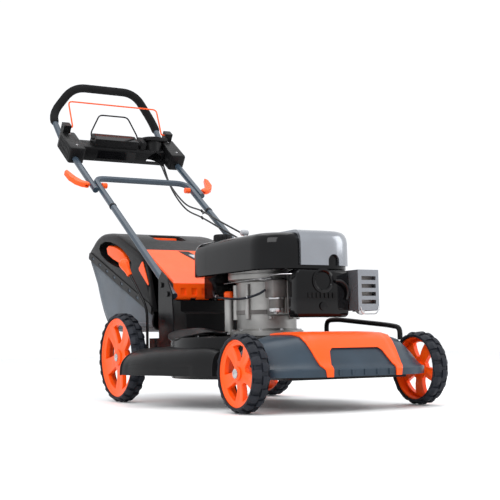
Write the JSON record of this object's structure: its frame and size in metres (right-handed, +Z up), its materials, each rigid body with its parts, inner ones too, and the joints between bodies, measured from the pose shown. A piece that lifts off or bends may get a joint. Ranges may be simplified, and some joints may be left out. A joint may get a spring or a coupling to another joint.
{
  "type": "walk-behind lawn mower",
  "caption": "Self-propelled petrol lawn mower with folding tube handle, rear grass bag, side discharge chute, linked height adjustment and engine.",
  "frame": {"origin": "bottom centre of the bounding box at rest, on the ground", "axes": "+Z up, front faces -Y, operator stands at +Y, +X is the machine's left"},
  "size_m": [0.648, 1.6748, 1.1551],
  "materials": {
    "deck_shell": "satin",
    "front_cover": "fine grain",
    "front_bumper": "satin moulded",
    "carry_rail": "fine grain",
    "handle_bracket_right": "satin",
    "handle_bracket_left": "satin",
    "discharge_tunnel": "fine grain",
    "flap_hinge_rod": "satin",
    "crankcase": "as cast",
    "cylinder_block": "as cast",
    "cylinder_shroud": "gloss",
    "blower_housing": "gloss",
    "engine_cowl": "satin metallic",
    "fuel_tank": "gloss",
    "carburettor": "as cast",
    "muffler": "satin",
    "muffler_guard": "satin metallic",
    "oil_dipstick": "satin moulded",
    "fuel_hose": "matt",
    "fuel_cap": "fine grain",
    "starter_grip": "satin metallic",
    "crankshaft": "satin",
    "flywheel": "as cast",
    "blade": "satin",
    "drive_belt": "matt",
    "gearbox": "as cast",
    "gearbox_pulley": "satin",
    "rear_axle": "satin",
    "rear_carriage": "satin",
    "front_carriage": "satin",
    "height_link": "satin",
    "height_lever": "satin",
    "height_knob": "satin moulded",
    "lower_handle": "satin",
    "upper_handle": "satin",
    "hand_grip": "matt foam",
    "console": "fine grain",
    "cup_holder": "fine grain",
    "stop_bail": "satin moulded",
    "drive_bail": "satin",
    "cam_lever_right": "satin moulded",
    "cam_lever_left": "satin moulded",
    "clamp_bolt_right": "satin moulded",
    "clamp_bolt_left": "satin moulded",
    "stop_cable": "matt",
    "drive_cable": "matt",
    "bag_lid": "fine grain",
    "bag_cloth": "woven",
    "rear_flap": "satin moulded",
    "side_flap": "fine grain",
    "side_chute": "fine grain",
    "front_right_tyre": "matt",
    "front_right_rim": "satin moulded",
    "front_left_tyre": "matt",
    "front_left_rim": "satin moulded",
    "rear_right_tyre": "matt",
    "rear_right_rim": "satin moulded",
    "rear_left_tyre": "matt",
    "rear_left_rim": "satin moulded"
  },
  "bodies": {
    "frame": {"deck_shell": "deck_shell", "front_cover": "front_cover", "front_bumper": "front_bumper", "carry_rail": "carry_rail", "handle_bracket_right": "handle_bracket_right", "handle_bracket_left": "handle_bracket_left", "discharge_tunnel": "discharge_tunnel", "flap_hinge_rod": "flap_hinge_rod", "crankcase": "crankcase", "cylinder_block": "cylinder_block", "cylinder_shroud": "cylinder_shroud", "blower_housing": "blower_housing", "engine_cowl": "engine_cowl", "fuel_tank": "fuel_tank", "carburettor": "carburettor", "muffler": "muffler", "muffler_guard": "muffler_guard", "fuel_hose": "fuel_hose", "drive_belt": "drive_belt", "stop_cable": "stop_cable", "drive_cable": "drive_cable"},
    "crank": {"crankshaft": "crankshaft", "flywheel": "flywheel", "blade": "blade"},
    "rear_carrier": {"rear_carriage": "rear_carriage", "height_lever": "height_lever", "height_knob": "height_knob", "gearbox": "gearbox"},
    "front_carrier": {"front_carriage": "front_carriage"},
    "link": {"height_link": "height_link"},
    "pulley": {"gearbox_pulley": "gearbox_pulley"},
    "axle": {"rear_axle": "rear_axle"},
    "front_right_wheel": {"front_right_tyre": "front_right_tyre", "front_right_rim": "front_right_rim"},
    "front_left_wheel": {"front_left_tyre": "front_left_tyre", "front_left_rim": "front_left_rim"},
    "rear_right_wheel": {"rear_right_tyre": "rear_right_tyre", "rear_right_rim": "rear_right_rim"},
    "rear_left_wheel": {"rear_left_tyre": "rear_left_tyre", "rear_left_rim": "rear_left_rim"},
    "lower_handle_body": {"lower_handle": "lower_handle"},
    "upper_handle_body": {"upper_handle": "upper_handle", "hand_grip": "hand_grip", "console": "console", "cup_holder": "cup_holder", "clamp_bolt_right": "clamp_bolt_right", "clamp_bolt_left": "clamp_bolt_left"},
    "stop_bail_body": {"stop_bail": "stop_bail"},
    "drive_bail_body": {"drive_bail": "drive_bail"},
    "cam_right": {"cam_lever_right": "cam_lever_right"},
    "cam_left": {"cam_lever_left": "cam_lever_left"},
    "bag": {"bag_lid": "bag_lid", "bag_cloth": "bag_cloth"},
    "flap": {"rear_flap": "rear_flap"},
    "side_door": {"side_flap": "side_flap"},
    "chute": {"side_chute": "side_chute"},
    "cap": {"fuel_cap": "fuel_cap"},
    "oil_cap": {"oil_dipstick": "oil_dipstick"},
    "starter": {"starter_grip": "starter_grip"}
  },
  "joints": [
    {"name": "blade_spin", "type": "hinge", "parent": "frame", "child": "crank", "pos_m": [0.028, -0.36468, 0.108], "axis": [0, 0, 1], "continuous": true},
    {"name": "height_adjust", "type": "hinge", "parent": "frame", "child": "rear_carrier", "pos_m": [0.028, -0.00068, 0.134], "axis": [1, 0, 0], "range_deg": [-20, 8], "deforming": ["drive_belt", "drive_cable"]},
    {"name": "front_height", "type": "hinge", "parent": "frame", "child": "front_carrier", "pos_m": [0.028, -0.75868, 0.0975], "axis": [1, 0, 0], "range_deg": [-20, 8]},
    {"name": "link_swing", "type": "hinge", "parent": "rear_carrier", "child": "link", "pos_m": [0.148, -0.00068, 0.156], "axis": [1, 0, 0], "range_deg": [-8, 20]},
    {"name": "pulley_spin", "type": "hinge", "parent": "rear_carrier", "child": "pulley", "pos_m": [0.028, 0.04032, 0.17], "axis": [0, 0, 1], "continuous": true},
    {"name": "axle_spin", "type": "hinge", "parent": "rear_carrier", "child": "axle", "pos_m": [0.028, 0.05432, 0.134], "axis": [1, 0, 0], "continuous": true},
    {"name": "front_right_spin", "type": "hinge", "parent": "front_carrier", "child": "front_right_wheel", "pos_m": [-0.244, -0.70368, 0.0975], "axis": [1, 0, 0], "continuous": true},
    {"name": "front_left_spin", "type": "hinge", "parent": "front_carrier", "child": "front_left_wheel", "pos_m": [0.3, -0.70368, 0.0975], "axis": [1, 0, 0], "continuous": true},
    {"name": "rear_right_spin", "type": "hinge", "parent": "axle", "child": "rear_right_wheel", "pos_m": [-0.234, 0.05432, 0.134], "axis": [1, 0, 0], "continuous": true},
    {"name": "rear_left_spin", "type": "hinge", "parent": "axle", "child": "rear_left_wheel", "pos_m": [0.29, 0.05432, 0.134], "axis": [1, 0, 0], "continuous": true},
    {"name": "lower_fold", "type": "hinge", "parent": "frame", "child": "lower_handle_body", "pos_m": [0.028, -0.12768, 0.318], "axis": [1, 0, 0], "range_deg": [0, 120], "deforming": ["stop_cable", "drive_cable"]},
    {"name": "upper_fold", "type": "hinge", "parent": "lower_handle_body", "child": "upper_handle_body", "pos_m": [0.028, 0.43917, 0.71491], "axis": [-1, 0, 0], "range_deg": [-150, 0], "deforming": ["stop_cable", "drive_cable"]},
    {"name": "stop_bail_squeeze", "type": "hinge", "parent": "upper_handle_body", "child": "stop_bail_body", "pos_m": [0.028, 0.68687, 0.95916], "axis": [-1, 0, 0], "range_deg": [0, 50], "stiffness_Nm_per_rad": 0.6, "springref_deg": -28.65},
    {"name": "drive_bail_squeeze", "type": "hinge", "parent": "upper_handle_body", "child": "drive_bail_body", "pos_m": [0.028, 0.64461, 0.91492], "axis": [-1, 0, 0], "range_deg": [0, 40], "stiffness_Nm_per_rad": 0.6, "springref_deg": -28.65},
    {"name": "cam_right_open", "type": "hinge", "parent": "upper_handle_body", "child": "cam_right", "pos_m": [-0.1943, 0.43917, 0.71491], "axis": [0, -0.5736, 0.8192], "range_deg": [0, 100]},
    {"name": "cam_left_open", "type": "hinge", "parent": "upper_handle_body", "child": "cam_left", "pos_m": [0.2503, 0.43917, 0.71491], "axis": [0, 0.5736, -0.8192], "range_deg": [0, 100]},
    {"name": "bag_slide", "type": "slide", "parent": "frame", "child": "bag", "axis": [0, 1, 0], "range_m": [0, 0.35]},
    {"name": "flap_open", "type": "hinge", "parent": "frame", "child": "flap", "pos_m": [0.028, -0.10468, 0.308], "axis": [1, 0, 0], "range_deg": [0, 60], "stiffness_Nm_per_rad": 0.4, "springref_deg": -17.19},
    {"name": "side_flap_open", "type": "hinge", "parent": "frame", "child": "side_door", "pos_m": [-0.15, -0.32468, 0.1968], "axis": [0, 1, 0], "range_deg": [0, 80], "stiffness_Nm_per_rad": 0.1, "springref_deg": -17.19},
    {"name": "chute_slide", "type": "slide", "parent": "frame", "child": "chute", "axis": [-1, 0, 0], "range_m": [0, 0.12]},
    {"name": "fuel_cap_turn", "type": "hinge", "parent": "frame", "child": "cap", "pos_m": [-0.027, -0.21268, 0.47], "axis": [0, 0, 1], "continuous": true},
    {"name": "oil_cap_turn", "type": "hinge", "parent": "frame", "child": "oil_cap", "pos_m": [-0.06, -0.30468, 0.3], "axis": [0, 0, 1], "continuous": true},
    {"name": "starter_pull", "type": "slide", "parent": "frame", "child": "starter", "axis": [0, 0.342, 0.9397], "range_m": [0, 0.25], "stiffness_N_per_m": 20, "springref_m": -0.15}
  ],
  "couplings": [
    {"joint": "front_height", "follows": "height_adjust", "ratio": 1},
    {"joint": "link_swing", "follows": "height_adjust", "ratio": -1},
    {"joint": "pulley_spin", "follows": "blade_spin", "ratio": 0.7792}
  ]
}
